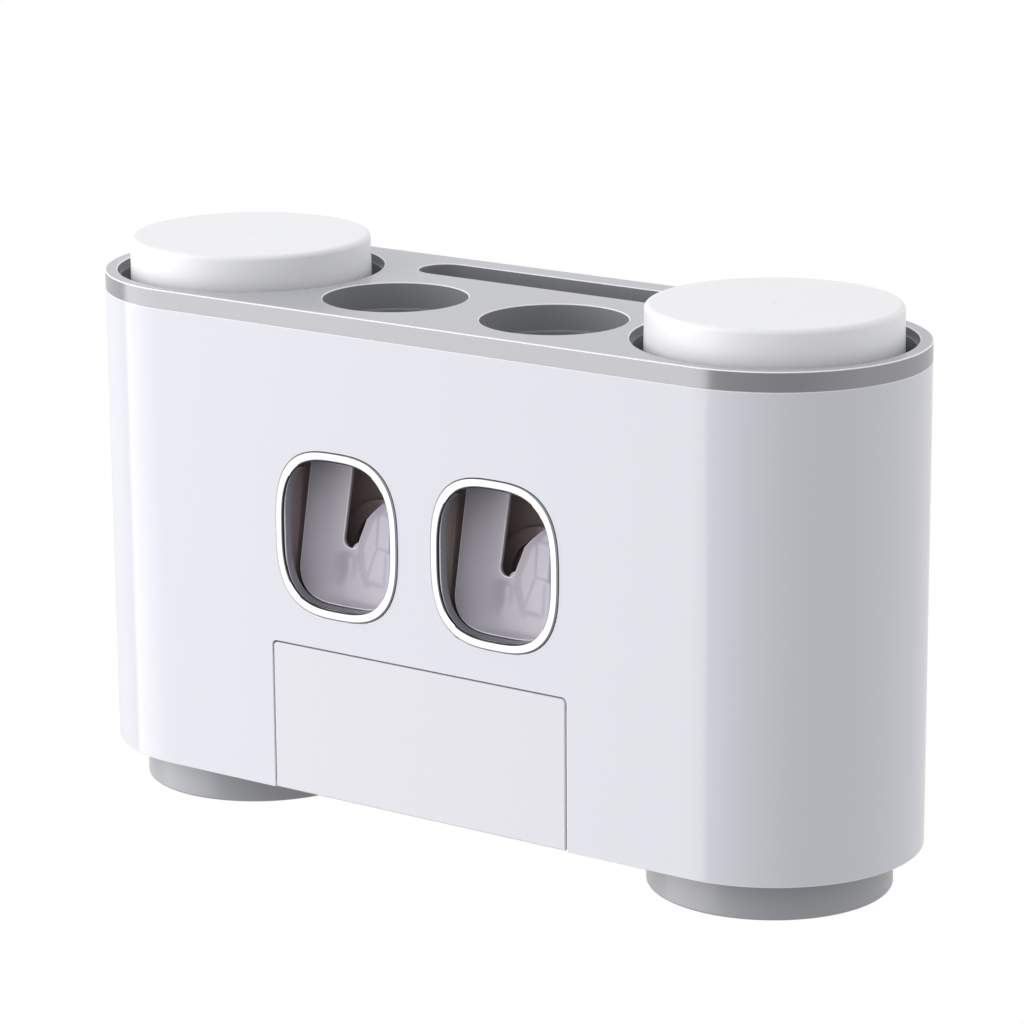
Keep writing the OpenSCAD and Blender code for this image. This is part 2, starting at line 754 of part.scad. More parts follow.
// Stud on the scoop's back that presses the pump bulb
module pusher() {
    back = scoop_rim + scoop_sag;
    arm = pin_up + bulb_down;
    reach = (cavity_depth - bulb_h - bulb_gap - pin_depth + arm * sin(lever_lean)) / cos(lever_lean);
    translate([0, back + 0.7, -bulb_down]) rod_y(pusher_r, pin_depth + reach - back - 0.7);
}

// Raised panels on the right of the scoop
module rib_panels() {
    for (panel = [[scoop_half_w - 11.9, -5.4, 12.2, 0.9], [scoop_half_w - 14.9, -16.5, 10.6, 0.45]]) {
        intersection() {
            translate([0, scoop_axis, panel[1]]) rotate_extrude(angle = 90, start = 45)
                translate([scoop_r - panel[3], 0]) square([panel[3] + 0.5, panel[2]]);
            translate([panel[0], scoop_rim + 0.3, -20]) cube([7.4, 20, 40]);
        }
    }
}

// Door panel, drawn as a side section, with side returns and two hinge knuckles
module door() {
    section = concat(
        [[0, door_bottom], [door_t, door_bottom], [door_t, door_h]],
        arc(door_edge_r, door_h - door_edge_r, door_edge_r, 90, 180, 6)
    );
    color(WHITE) on_wall() translate([0, front_y, 0]) difference() {
        union() {
            across(door_w) polygon(section);
            for (side = [-1, 1]) {
                translate([side * (door_half - return_t / 2 - return_in), 0, 0]) across(return_t) polygon([
                    [door_t - 0.2, 2 * return_t], [return_depth, return_t + return_in],
                    [return_depth, hinge_z - knuckle_l], [door_t - 0.2, hinge_z - 2 * knuckle_r]
                ]);
                translate([side * (door_half - knuckle_l / 2), hinge_in, hinge_z]) rod_x(knuckle_r, knuckle_l);
            }
            translate([-door_half + return_in, door_t - 0.2, return_t])
                cube([door_w - 2 * return_in, stiffener_t + 0.6, stiffener_t]);
        }
        for (side = [-1, 1]) {
            translate([side * (door_half - knuckle_l / 2 + cut / 2), hinge_in, hinge_z])
                rod_x(door_pin_r + pin_clear, knuckle_l + cut);
        }
    }
}

module door_pins() {
    inside = knuckle_l - 1;
    length = inside + door_gap + door_pin_in - 0.3;
    color(STEEL) on_wall() for (side = [-1, 1]) {
        translate([side * (door_half - inside + length / 2), front_y + hinge_in, hinge_z])
            rod_x(door_pin_r, length);
    }
}

// Panel over the back opening, with a pocket for the wall plate
module back_panel() {
    low = plate_z - plate_h / 2 - lift - 2;
    high = plate_z + plate_h / 2 + 1.5;
    half = plate_w / 2 + 2;
    floor_y = back_y - pocket_depth;
    hook_top = plate_z + hook_stem / 2 + seat_gap;
    slot_h = hook_rise + hook_stem + 2;
    color(WHITE) on_wall() difference() {
        union() {
            translate([-back_w / 2 + fit_gap, panel_y, back_z + fit_gap])
                cube([back_w - 2 * fit_gap, back_t, back_h - 2 * fit_gap]);
            translate([-half - pocket_side, floor_y - pocket_floor, low - pocket_side])
                cube([2 * (half + pocket_side), pocket_depth + pocket_floor - back_t + 0.5, high - low + 2 * pocket_side]);
        }
        translate([-half, floor_y, low]) cube([2 * half, pocket_depth + cut, high - low]);
        for (x = [-1, 1]) {
            translate([x * hook_spacing / 2 - hook_w / 2 - 0.5, floor_y - pocket_floor - cut, hook_top - slot_h])
                cube([hook_w + 1, pocket_floor + 2 * cut, slot_h]);
            translate([x * screw_spacing / 2 - 6, floor_y - pocket_floor - cut, low])
                cube([12, pocket_floor + 2 * cut, plate_h / 2 + lift + 8]);
        }
        for (x = [-1, 1], z = [-1, 1]) {
            translate([x * screw_pitch_x / 2, panel_y - cut, back_z + back_h / 2 + z * screw_pitch_z / 2]) {
                rod_y(screw_r + 0.2, back_t + 2 * cut);
                translate([0, cut + 0.9, 0]) rod_y(screw_head_r + 0.3, back_t);
            }
        }
    }
}

module back_screws() {
    color(STEEL) on_wall() for (x = [-1, 1], z = [-1, 1]) {
        translate([x * screw_pitch_x / 2, panel_y + 0.95, back_z + back_h / 2 + z * screw_pitch_z / 2])
            difference() {
                union() {
                    translate([0, -7, 0]) rod_y(screw_r - 0.02, 7.5);
                    rod_y(screw_head_r, 1.2);
                }
                translate([-0.3, 0.6, -1.6]) cube([0.6, 1, 3.2]);
                translate([-1.6, 0.6, -0.3]) cube([3.2, 1, 0.6]);
            }
    }
}

// Plate that stays on the wall, with two hooks and two countersunk screw holes
module wall_plate() {
    plate_back = wall_y - pad_t;
    plate_front = plate_back - wall_plate_t;
    floor_front = back_y - pocket_depth - pocket_floor;
    finger_y = floor_front - 0.4 - finger_t;
    color(CLEAR) on_wall() difference() {
        union() {
            translate([-plate_w / 2, plate_front, plate_z - plate_h / 2]) cube([plate_w, wall_plate_t, plate_h]);
            for (x = [-1, 1]) {
                translate([x * hook_spacing / 2 - hook_w / 2, finger_y, plate_z - hook_stem / 2]) {
                    cube([hook_w, plate_front - finger_y + 0.5, hook_stem]);
                    cube([hook_w, finger_t, hook_stem + hook_rise]);
                }
            }
        }
        for (x = [-1, 1]) {
            translate([x * screw_spacing / 2, plate_front - cut, plate_z]) {
                rod_y(screw_hole_r, wall_plate_t + 2 * cut);
                rotate([-90, 0, 0]) cylinder(r1 = screw_hole_r + 1.6 + cut, r2 = screw_hole_r, h = 1.4 + cut);
            }
        }
    }
}

module adhesive_pad() {
    color(CLEAR) on_wall() difference() {
        translate([-plate_w / 2 + 2, wall_y - pad_t, plate_z - plate_h / 2 + 2])
            cube([plate_w - 4, pad_t, plate_h - 4]);
        for (x = [-1, 1]) {
            translate([x * screw_spacing / 2, wall_y - pad_t - cut, plate_z]) rod_y(screw_hole_r + 1, pad_t + 2 * cut);
        }
    }
}

wall_plate();
adhesive_pad();
outer_shell();
back_panel();
back_screws();
bottom_plate();
brush_rack();
brush_bay();
top_cover();
storage_tray();
port_sleeve(LEFT);  // port_sleeve_left
port_sleeve(RIGHT);  // port_sleeve_right
cup_bay(LEFT);  // cup_bay_left
cup_bay(RIGHT);  // cup_bay_right
bay_magnet(LEFT);  // bay_magnet_left
bay_magnet(RIGHT);  // bay_magnet_right
pump_body(LEFT);  // pump_body_left
pump_body(RIGHT);  // pump_body_right
window_ring(LEFT);  // window_ring_left
window_ring(RIGHT);  // window_ring_right
tube_socket(LEFT);  // tube_socket_left
tube_socket(RIGHT);  // tube_socket_right
nozzle(LEFT);  // nozzle_left
nozzle(RIGHT);  // nozzle_right
pump_bulb(LEFT);  // pump_bulb_left
pump_bulb(RIGHT);  // pump_bulb_right
bulb_clamp(LEFT);  // bulb_clamp_left
bulb_clamp(RIGHT);  // bulb_clamp_right
lever_pin(LEFT);  // lever_pin_left
lever_pin(RIGHT);  // lever_pin_right
push_lever(LEFT);  // push_lever_left
push_lever(RIGHT);  // push_lever_right
door();
door_pins();
upper_cup(LEFT);  // upper_cup_left
upper_cup(RIGHT);  // upper_cup_right
lower_cup(LEFT);  // lower_cup_left
lower_cup(RIGHT);  // lower_cup_right
cup_disc(LEFT);  // cup_disc_left
cup_disc(RIGHT);  // cup_disc_right
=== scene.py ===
"""Looks of the wall mounted toothpaste dispenser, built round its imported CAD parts."""

import math

import bmesh
import bpy
from mathutils import Matrix, Vector
from mathutils.geometry import delaunay_2d_cdt


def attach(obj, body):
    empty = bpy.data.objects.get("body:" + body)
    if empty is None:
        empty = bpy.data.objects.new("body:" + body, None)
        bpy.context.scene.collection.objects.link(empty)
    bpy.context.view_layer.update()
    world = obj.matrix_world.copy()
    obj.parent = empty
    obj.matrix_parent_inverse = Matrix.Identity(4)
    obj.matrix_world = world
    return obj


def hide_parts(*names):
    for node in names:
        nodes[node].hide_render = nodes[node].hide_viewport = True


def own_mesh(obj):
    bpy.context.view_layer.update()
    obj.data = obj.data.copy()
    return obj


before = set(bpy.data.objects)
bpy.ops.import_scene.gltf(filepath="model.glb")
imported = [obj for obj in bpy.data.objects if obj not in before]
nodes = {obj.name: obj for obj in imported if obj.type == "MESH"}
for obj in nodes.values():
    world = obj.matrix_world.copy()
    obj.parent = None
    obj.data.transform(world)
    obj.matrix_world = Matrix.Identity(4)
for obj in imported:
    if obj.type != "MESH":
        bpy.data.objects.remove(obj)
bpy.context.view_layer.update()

# Sizes in millimetres, measured from the middle of the housing's underside
MM = 0.001
WALL_Y = 50.2
PLATE_Z = 105.0
BODY_W = 311.1
BODY_D = 100.0
SHELL_H = 159.8
SHELL_WALL = 2.4
TOP_Z = 166.1
COVER_Z = 163.1
CUP_X = 105.55
WELL_R = 45.8
PORT_X = 31.9
PORT_Y = -15.7
PORT_R = 24.2
SLOT_Y = 31.5
SLOT_L = 110.2
SLOT_W = 18.2
WINDOW_Z = 91.3
RING_A = 25.0
RING_B = 28.3
RING_N = 2.9
RING_INNER_A = 21.55
RING_INNER_B = 24.85
RING_INNER_N = 3.2
FIT_GAP = 0.15
FRAME_HALF = 59.75
FRAME_TOP = 51.8
DOOR_HALF = 59.3
DOOR_H = 51.35
DOOR_T = 2.3
HINGE_IN = 2.2
HINGE_Z = 48.7
PIN_DEPTH = 19.0
PIN_UP = 33.5
LEVER_LEAN = 7.0
SIDES = (("left", -1), ("right", 1))


def at(x, y, z):
    """A point of the housing as a point of the row frame, in metres."""
    return Vector((x, y - WALL_Y, z - PLATE_Z)) * MM


def circle(x, y, r, steps=96, start=0.0, turn=360.0, closed=True):
    count = steps if closed else steps + 1
    return [
        (x + r * math.cos(a), y + r * math.sin(a))
        for a in (math.radians(start + turn * i / steps) for i in range(count))
    ]


def stadium(width, depth, steps=48, y=0.0):
    """A stadium's outline, anticlockwise from the front left."""
    run, r = (width - depth) / 2, depth / 2
    right = circle(run, y, r, steps, -90, 180, closed=False)
    left = circle(-run, y, r, steps, 90, 180, closed=False)
    return right + left


def squircle(a, b, n, steps=96):
    points = []
    for i in range(steps):
        t = 2 * math.pi * i / steps
        c, s = math.cos(t), math.sin(t)
        points.append(
            (
                a * math.copysign(abs(c) ** (2 / n), c),
                b * math.copysign(abs(s) ** (2 / n), s),
            )
        )
    return points


class Solid:
    """A mesh under construction, whose corners are shared by their place."""

    def __init__(self):
        self.bm = bmesh.new()
        self.corners = {}
        self.slot = 0

    def vert(self, x, y, z):
        key = (round(x, 4), round(y, 4), round(z, 4))
        if key not in self.corners:
            self.corners[key] = self.bm.verts.new((x, y, z))
        return self.corners[key]

    def loop(self, points):
        return [self.vert(*p) for p in points]

    def face(self, verts):
        unique = list(dict.fromkeys(verts))
        if len(unique) > 2:
            try:
                self.bm.faces.new(unique).material_index = self.slot
            except ValueError:
                pass

    def bridge(self, first, second, closed=True):
        """Quads between two rows of points with the same count."""
        a, b = self.loop(first), self.loop(second)
        count = len(a) if closed else len(a) - 1
        for i in range(count):
            j = (i + 1) % len(a)
            self.face([a[i], a[j], b[j], b[i]])

    def sheet(self, loops):
        """Fills a flat region that is bounded by closed loops."""
        edges = []
        for points in loops:
            verts = self.loop(points)
            for i, v in enumerate(verts):
                w = verts[(i + 1) % len(verts)]
                if v is w:
                    continue
                edges.append(self.bm.edges.get((v, w)) or self.bm.edges.new((v, w)))
        made = bmesh.ops.triangle_fill(self.bm, use_beauty=True, edges=list(set(edges)))["geom"]
        faces = [f for f in made if isinstance(f, bmesh.types.BMFace)]
        inner = [
            e
            for e in {e for f in faces for e in f.edges}
            if len(e.link_faces) == 2 and all(f in faces for f in e.link_faces)
        ]
        bmesh.ops.dissolve_limit(
            self.bm,
            angle_limit=0.01,
            use_dissolve_boundaries=False,
            verts=[],
            edges=inner,
            delimit={"NORMAL"},
        )

    def block(self, low, high):
        """A box of its own, which may reach into other parts of the piece."""
        made = bmesh.ops.create_cube(self.bm, size=1.0)["verts"]
        for v in made:
            v.co = Vector(
                tuple(l + (h - l) * (c + 0.5) for l, h, c in zip(low, high, v.co))
            )

    def rod(self, start, end, r, steps=32):
        """A round rod of its own between two points."""
        a, b = Vector(start), Vector(end)
        turn = (b - a).to_track_quat("Z", "Y").to_matrix().to_4x4()
        bmesh.ops.create_cone(
            self.bm,
            cap_ends=True,
            segments=steps,
            radius1=r,
            radius2=r,
            depth=(b - a).length,
            matrix=Matrix.Translation((a + b) / 2) @ turn,
        )


def make(solid, name, body, material, replaced, place=at, sharp=35.0):
    """Turns a finished mesh into a piece that rides on a body."""
    bm = solid.bm
    bmesh.ops.recalc_face_normals(bm, faces=bm.faces)
    for v in bm.verts:
        v.co = place(*v.co)
    mesh = bpy.data.meshes.new(name)
    bm.to_mesh(mesh)
    bm.free()
    mesh.shade_smooth()
    mesh.set_sharp_from_angle(angle=math.radians(sharp))
    mesh.materials.append(material)
    piece = bpy.data.objects.new(name, mesh)
    bpy.context.scene.collection.objects.link(piece)
    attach(piece, body)
    if replaced:
        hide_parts(*replaced)
    return piece


def round_edges(piece, width, segments=3, angle=40.0, edge=None):
    """Gives the piece's sharp edges a small radius, in millimetres, and, with an edge material, a painted
    highlight on them.
    """
    bevel = piece.modifiers.new("edge_radius", "BEVEL")
    bevel.width = width * MM
    bevel.segments = segments
    bevel.limit_method = "ANGLE"
    bevel.angle_limit = math.radians(angle)
    bevel.harden_normals = True
    bevel.use_clamp_overlap = False
    bevel.miter_outer = "MITER_ARC"
    if edge:
        piece.data.materials.append(edge)
        bevel.material = len(piece.data.materials) - 1
    return piece


def keep_flats(piece):
    """Lets large flat faces set the shading of the corners that they share."""
    weighted = piece.modifiers.new("flat_shading", "WEIGHTED_NORMAL")
    weighted.keep_sharp = True
    weighted.weight = 90
    return piece


class Term:
    """A shader socket that takes part in plain arithmetic."""

    def __init__(self, tree, socket):
        self.tree = tree
        self.socket = socket

    def maths(self, operation, *terms, clamp=False):
        node = self.tree.nodes.new("ShaderNodeMath")
        node.operation = operation
        node.use_clamp = clamp
        for slot, term in zip(node.inputs, terms):
            feed(self.tree, slot, term)
        return Term(self.tree, node.outputs[0])

    def __add__(self, other):
        return self.maths("ADD", self, other)

    __radd__ = __add__

    def __sub__(self, other):
        return self.maths("SUBTRACT", self, other)

    def __rsub__(self, other):
        return self.maths("SUBTRACT", other, self)

    def __mul__(self, other):
        return self.maths("MULTIPLY", self, other)

    __rmul__ = __mul__

    def __truediv__(self, other):
        return self.maths("DIVIDE", self, other)

    def __neg__(self):
        return self.maths("MULTIPLY", self, -1.0)

    def clamped(self):
        return self.maths("ADD", self, 0.0, clamp=True)

    def angle_to(self, other):
        return self.maths("ARCTAN2", self, other)


def feed(tree, slot, value):
    """Connects a term or sets a plain value."""
    if isinstance(value, Term):
        tree.links.new(value.socket, slot)
    elif value is not None:
        slot.default_value = value


def add_node(tree, kind, settings=None, sockets=None):
    """Any other shader node, with its settings and sockets."""
    node = tree.nodes.new(kind)
    for name, value in (settings or {}).items():
        setattr(node, name, value)
    for name, value in (sockets or {}).items():
        feed(tree, node.inputs[name], value)
    return node


def noise(tree, scale, detail=2.0):
    """Noise over the row frame, with its scale per metre."""
    place = add_node(tree, "ShaderNodeTexCoord")
    texture = add_node(tree, "ShaderNodeTexNoise", sockets={"Scale": scale, "Detail": detail})
    tree.links.new(place.outputs["Object"], texture.inputs["Vector"])
    return Term(tree, texture.outputs["Fac"])


def surface(name, colour, rough, metallic=0.0, grain=None, wave=None, tint=0.02, **plain):
    """A material whose colour, roughness and relief vary a little over the piece."""
    material = bpy.data.materials.new(name)
    material.use_nodes = True
    tree = material.node_tree
    shader = tree.nodes["Principled BSDF"]
    cloud = noise(tree, 35.0, detail=3.0)
    fine = noise(tree, 700.0, detail=2.0)
    darker = tuple(c * (1 - tint) for c in colour) + (1.0,)
    lighter = tuple(min(1.0, c * (1 + tint)) for c in colour) + (1.0,)
    mixed = add_node(
        tree,
        "ShaderNodeMix",
        {"data_type": "RGBA"},
        {"Factor": (cloud * 0.7 + fine * 0.3).clamped()},
    )
    mixed.inputs[6].default_value = darker
    mixed.inputs[7].default_value = lighter
    tree.links.new(mixed.outputs[2], shader.inputs["Base Color"])
    feed(tree, shader.inputs["Roughness"], rough + (cloud - 0.5) * 0.05 + (fine - 0.5) * 0.04)
    shader.inputs["Metallic"].default_value = metallic
    for socket, value in plain.items():
        shader.inputs[socket.replace("_", " ")].default_value = value
    normal = None
    for relief in (wave, grain):
        if relief is None:
            continue
        scale, height = relief
        sockets = {"Height": noise(tree, scale), "Strength": 1.0, "Distance": height * MM}
        bump = add_node(tree, "ShaderNodeBump", sockets=sockets)
        if normal is not None:
            tree.links.new(normal, bump.inputs["Normal"])
        normal = bump.outputs["Normal"]
    if normal is not None:
        tree.links.new(normal, shader.inputs["Normal"])
    return material


# Materials
shell_white = surface("shell_white", (0.68, 0.68, 0.735), 0.13, wave=(30.0, 0.02), tint=0.006)
door_white = surface("door_white", (0.685, 0.68, 0.725), 0.13, wave=(30.0, 0.02), tint=0.006)
cover_grey = surface("cover_grey", (0.43, 0.435, 0.465), 0.22, grain=(1800.0, 0.0015), tint=0.012)
# Darker copy of the grey for walls of holes and for parts down in recesses: painted shade
recess_grey = surface("recess_grey", (0.27, 0.275, 0.29), 0.24, grain=(1800.0, 0.0015), tint=0.02)
rim_grey = surface("rim_grey", (0.215, 0.215, 0.235), 0.2, tint=0.012, IOR=2.3)
# Near-white finish for the cover's bevelled edges: painted highlight
cover_edge_highlight = surface("cover_edge_highlight", (0.93, 0.93, 0.95), 0.3, tint=0.005)
# Lighter finish for the shell's bevelled edges: painted highlight
shell_edge_highlight = surface("shell_edge_highlight", (0.82, 0.82, 0.86), 0.2, tint=0.005)
inner_grey = surface("inner_grey", (0.45, 0.45, 0.48), 0.42, grain=(1800.0, 0.012))
cup_white = surface("cup_white", (0.88, 0.885, 0.89), 0.42, grain=(2200.0, 0.012), tint=0.005)
cup_grey = surface("cup_grey", (0.38, 0.385, 0.40), 0.32, grain=(2200.0, 0.012), tint=0.012)
ring_chrome = surface("ring_chrome", (0.42, 0.425, 0.435), 0.05, metallic=1.0, tint=0.01)
# Black on the rings' chamfer is painted shadow; the bright metal below it is painted highlight
ring_painted_shadow = surface("ring_painted_shadow", (0.012, 0.012, 0.016), 0.25, tint=0.02)
ring_painted_highlight = surface("ring_painted_highlight", (0.86, 0.87, 0.92), 0.12, metallic=1.0, tint=0.01)
pump_taupe = surface("pump_taupe", (0.50, 0.41, 0.395), 0.42, grain=(1800.0, 0.012), tint=0.03)
lever_lilac = surface("lever_lilac", (0.42, 0.40, 0.46), 0.30, grain=(2000.0, 0.006), tint=0.012)
# Pale finish for the scoop's bevelled rim: painted highlight
lever_rim_highlight = surface("lever_rim_highlight", (0.80, 0.79, 0.83), 0.25, tint=0.01)
nozzle_plastic = surface("nozzle_plastic", (0.36, 0.31, 0.30), 0.3)
clear_plastic = surface("clear_plastic", (0.78, 0.80, 0.82), 0.25)
seal_rubber = surface("seal_rubber", (0.22, 0.22, 0.23), 0.62, grain=(1500.0, 0.02))
bulb_rubber = surface("bulb_rubber", (0.33, 0.275, 0.265), 0.48, grain=(1500.0, 0.015))
steel = surface("steel", (0.60, 0.60, 0.62), 0.28, metallic=1.0, grain=(2500.0, 0.004))
adhesive = surface("adhesive", (0.80, 0.80, 0.80), 0.7, grain=(1200.0, 0.03))

# Materials of the CAD parts that stay as they are
KEPT = {
    shell_white: ["back_panel"],
    inner_grey: ["bottom_plate", "brush_rack", "brush_bay"],
    # Tray and cup bays get the darker grey: painted shade
    recess_grey: ["storage_tray", "cup_bay_left", "cup_bay_right"],
    pump_taupe: ["pump_body_left", "pump_body_right", "bulb_clamp_left", "bulb_clamp_right"],
    nozzle_plastic: ["nozzle_left", "nozzle_right"],
    clear_plastic: ["wall_plate"],
    seal_rubber: ["tube_socket_left", "tube_socket_right"],
    bulb_rubber: ["pump_bulb_left", "pump_bulb_right"],
    adhesive: ["adhesive_pad"],
    steel: [
        "back_screws",
        "bay_magnet_left",
        "bay_magnet_right",
        "lever_pin_left",
        "lever_pin_right",
        "door_pins",
        "cup_disc_left",
        "cup_disc_right",
    ],
}
for material, names in KEPT.items():
    for name in names:
        nodes[name].data.materials.clear()
        nodes[name].data.materials.append(material)


def xz(points, y):
    return [(x, y, z) for x, z in points]


def xy(points, z):
    return [(x, y, z) for x, y in points]


# Shell: opening behind the back panel, corners of the door's opening, and what stands inside the wall
BACK_HALF = 80.0
BACK_LOW = 14.0
BACK_HIGH = 146.0
NOTCH_R = 1.7
SURROUND_T = 1.6
SURROUND_DEPTH = 5.6
EAR_W = 6.0
EAR_HALF = 4.0
POST_X = (71.0, 81.5)
POST_FROM_BACK = (8.4, 2.2)
POST_HEIGHTS = ((13.0, 23.0), (137.0, 147.0))


def build_shell():
    """White shell: a stadium wall with two windows, the door's opening and the back opening."""
    solid = Solid()
    run = (BODY_W - BODY_D) / 2
    half = BODY_D / 2
    inside = half - SHELL_WALL
    window = squircle(RING_A + FIT_GAP, RING_B + FIT_GAP, RING_N)
    windows = [[(side * PORT_X + x, WINDOW_Z + z) for x, z in window] for _, side in SIDES]
    notch = (
        [(-FRAME_HALF, 0)]
        + circle(-FRAME_HALF + NOTCH_R, FRAME_TOP - NOTCH_R, NOTCH_R, 6, 180, -90, closed=False)
        + circle(FRAME_HALF - NOTCH_R, FRAME_TOP - NOTCH_R, NOTCH_R, 6, 90, -90, closed=False)
        + [(FRAME_HALF, 0)]
    )
    front = [(-run, 0)] + notch + [(run, 0), (run, SHELL_H), (-run, SHELL_H)]
    back = [(-run, 0), (run, 0), (run, SHELL_H), (-run, SHELL_H)]
    opening = [(-BACK_HALF, BACK_LOW), (BACK_HALF, BACK_LOW)]
    opening += [(BACK_HALF, BACK_HIGH), (-BACK_HALF, BACK_HIGH)]
    for y, loops in (
        (-half, [front] + windows),
        (-inside, [front] + windows),
        (half, [back, opening]),
        (inside, [back, opening]),
    ):
        solid.sheet([xz(points, y) for points in loops])
    for points in windows:
        solid.bridge(xz(points, -half), xz(points, -inside))
    solid.bridge(xz(notch, -half), xz(notch, -inside), closed=False)
    solid.bridge(xz(opening, half), xz(opening, inside))
    for side in (-1, 1):
        outer = circle(side * run, 0, half, 64, -90, side * 180, closed=False)
        inner = circle(side * run, 0, inside, 64, -90, side * 180, closed=False)
        for ring in (outer, inner):
            solid.bridge(xy(ring, 0), xy(ring, SHELL_H), closed=False)
        for z in (0, SHELL_H):
            solid.bridge(xy(outer, z), xy(inner, z), closed=False)
    for face, z, start, end in (
        (-1, SHELL_H, -run, run),
        (1, SHELL_H, -run, run),
        (1, 0, -run, run),
        (-1, 0, -run, -FRAME_HALF),
        (-1, 0, run, FRAME_HALF),
    ):
        first, second = ([(start, face * y, z), (end, face * y, z)] for y in (half, inside))
        solid.bridge(first, second, closed=False)
    piece = make(solid, "shell", "housing", shell_white, ["outer_shell"])
    # The shell's bevelled edges take the lighter finish: painted highlight
    round_edges(piece, 0.45, edge=shell_edge_highlight)


def build_surround():
    """Frame round the door's opening with its hinge ears, and the posts for the back panel's screws."""
    solid = Solid()
    half = BODY_D / 2
    near = -half + SHELL_WALL - 0.05
    far = -half + SURROUND_DEPTH
    outer = FRAME_HALF + SURROUND_T
    solid.block((-outer, near, FRAME_TOP), (outer, far, FRAME_TOP + SURROUND_T))
    for side in (-1, 1):
        xs = sorted((side * FRAME_HALF, side * outer))
        solid.block((xs[0], near, 0.05), (xs[1], far, FRAME_TOP + 0.02))
        xs = sorted((side * (FRAME_HALF + 0.01), side * (FRAME_HALF + EAR_W)))
        solid.block((xs[0], near, HINGE_Z - EAR_HALF), (xs[1], far - 0.01, HINGE_Z + EAR_HALF))
        xs = sorted(side * x for x in POST_X)
        ys = [half - y for y in POST_FROM_BACK]
        for low, high in POST_HEIGHTS:
            solid.block((xs[0], ys[0], low), (xs[1], ys[1], high))
    make(solid, "door_surround", "housing", shell_white, [])


def build_cover():
    """Grey top cover with its rim band, cup openings, tube ports and rear slot."""
    solid = Solid()
    outer = stadium(BODY_W, BODY_D, 64)
    inner = stadium(BODY_W - 2 * SHELL_WALL, BODY_D - 2 * SHELL_WALL, 64)
    holes = [stadium(SLOT_L, SLOT_W, 24, SLOT_Y)]
    for _, side in SIDES:
        holes.append(circle(side * CUP_X, 0, WELL_R, 128))
        holes.append(circle(side * PORT_X, PORT_Y, PORT_R, 96))
    solid.sheet([xy(points, TOP_Z) for points in [outer] + holes])
    solid.sheet([xy(points, COVER_Z) for points in [inner] + holes])
    # Walls of the holes get the darker grey: painted shade
    solid.slot = 1
    for points in holes:
        solid.bridge(xy(points, TOP_Z), xy(points, COVER_Z))
    solid.slot = 2
    solid.bridge(xy(outer, TOP_Z), xy(outer, SHELL_H))
    solid.bridge(xy(outer, SHELL_H), xy(inner, SHELL_H))
    solid.bridge(xy(inner, SHELL_H), xy(inner, COVER_Z))
    weights = solid.bm.edges.layers.float.new("bevel_weight_edge")
    for edge in solid.bm.edges:
        heights = {round(v.co.z, 4) for v in edge.verts}
        if heights in ({TOP_Z}, {SHELL_H}) and edge.calc_face_angle(0) > 0.7:
            edge[weights] = 1.0
    piece = make(solid, "top_cover_skin", "housing", cover_grey, ["top_cover"])
    piece.data.materials.append(recess_grey)
    piece.data.materials.append(rim_grey)
    # The bevelled top edges take the near-white finish: painted highlight
    round_edges(piece, 0.35, edge=cover_edge_highlight).modifiers["edge_radius"].limit_method = "WEIGHT"
    return piece


def lathe(name, body, profile, x, y, z, material, replaced, steps=144, sharp=35.0):
    """Turns an outline of (radius, height) points about an upright axis."""
    solid = Solid()
    rows = []
    for radius, height in profile:
        if radius < 1e-6:
            rows.append([(x, y, z + height)] * steps)
        else:
            rows.append(xy(circle(x, y, radius, steps), z + height))
    for first, second in zip(rows, rows[1:] + rows[:1]):
        if first[0] == first[1] and second[0] == second[1]:
            continue
        solid.bridge(first, second)
    piece = make(solid, name, body, material, replaced, sharp=sharp)
    return keep_flats(piece)


def bend(cx, cz, r, start, end, steps):
    """Points of an arc in an outline."""
    return [
        (cx + r * math.cos(a), cz + r * math.sin(a))
        for a in (math.radians(start + (end - start) * i / steps) for i in range(steps + 1))
    ]


def cup_profile(mouth_r, base_r, height, wall=1.9, base=3.0, edge=1.8, lip=0.75, gate=True, recess=None):
    """Outline of a cup that stands on its mouth."""
    inner = base_r - wall
    points = [(0, height - base)]
    points += bend(inner - edge, height - base - edge, edge, 90, 0, 8)
    points += bend(mouth_r - wall + lip, lip, lip, 180, 270, 5)
    points += bend(mouth_r - lip, lip, lip, -90, 0, 5)
    points += bend(base_r - edge, height - edge, edge, 0, 90, 10)
    if gate:
        points += [(1.7, height), (1.3, height - 0.22), (0.75, height - 0.22), (0.45, height - 0.05)]
        points += [(0, height - 0.05)]
    elif recess:
        points += [(recess[0], height), (recess[0], height - recess[1]), (0, height - recess[1])]
    return points


# Cups as (mouth radius, base radius, height), the level of their mouth, and the recess for the steel disc
UPPER_CUP = (42.4, 41.1, 92.7)
UPPER_CUP_Z = 84.6
LOWER_CUP = (40.2, 38.9, 93.5)
LOWER_CUP_Z = -14.5
DISC_RECESS = (11.15, 1.2)


def build_cups():
    """White cups on top, stood on their mouths, and grey cups below."""
    for name, side in SIDES:
        lathe(
            "upper_cup_skin_" + name,
            "upper_cup_" + name,
            cup_profile(*UPPER_CUP),
            side * CUP_X,
            0,
            UPPER_CUP_Z,
            cup_white,
            ["upper_cup_" + name],
        )
        lathe(
            "lower_cup_skin_" + name,
            "lower_cup_" + name,
            cup_profile(*LOWER_CUP, gate=False, recess=DISC_RECESS, lip=0.95),
            side * CUP_X,
            0,
            LOWER_CUP_Z,
            cup_grey,
            ["lower_cup_" + name],
        )


# Port sleeves: they stand in the pump bodies' tops, and their first ledge lies below the cover
PUMP_TOP = 57.0
SLEEVE_SINK = 2.4
SLEEVE_WALL = 1.4
LEDGE_DOWN = 9.0


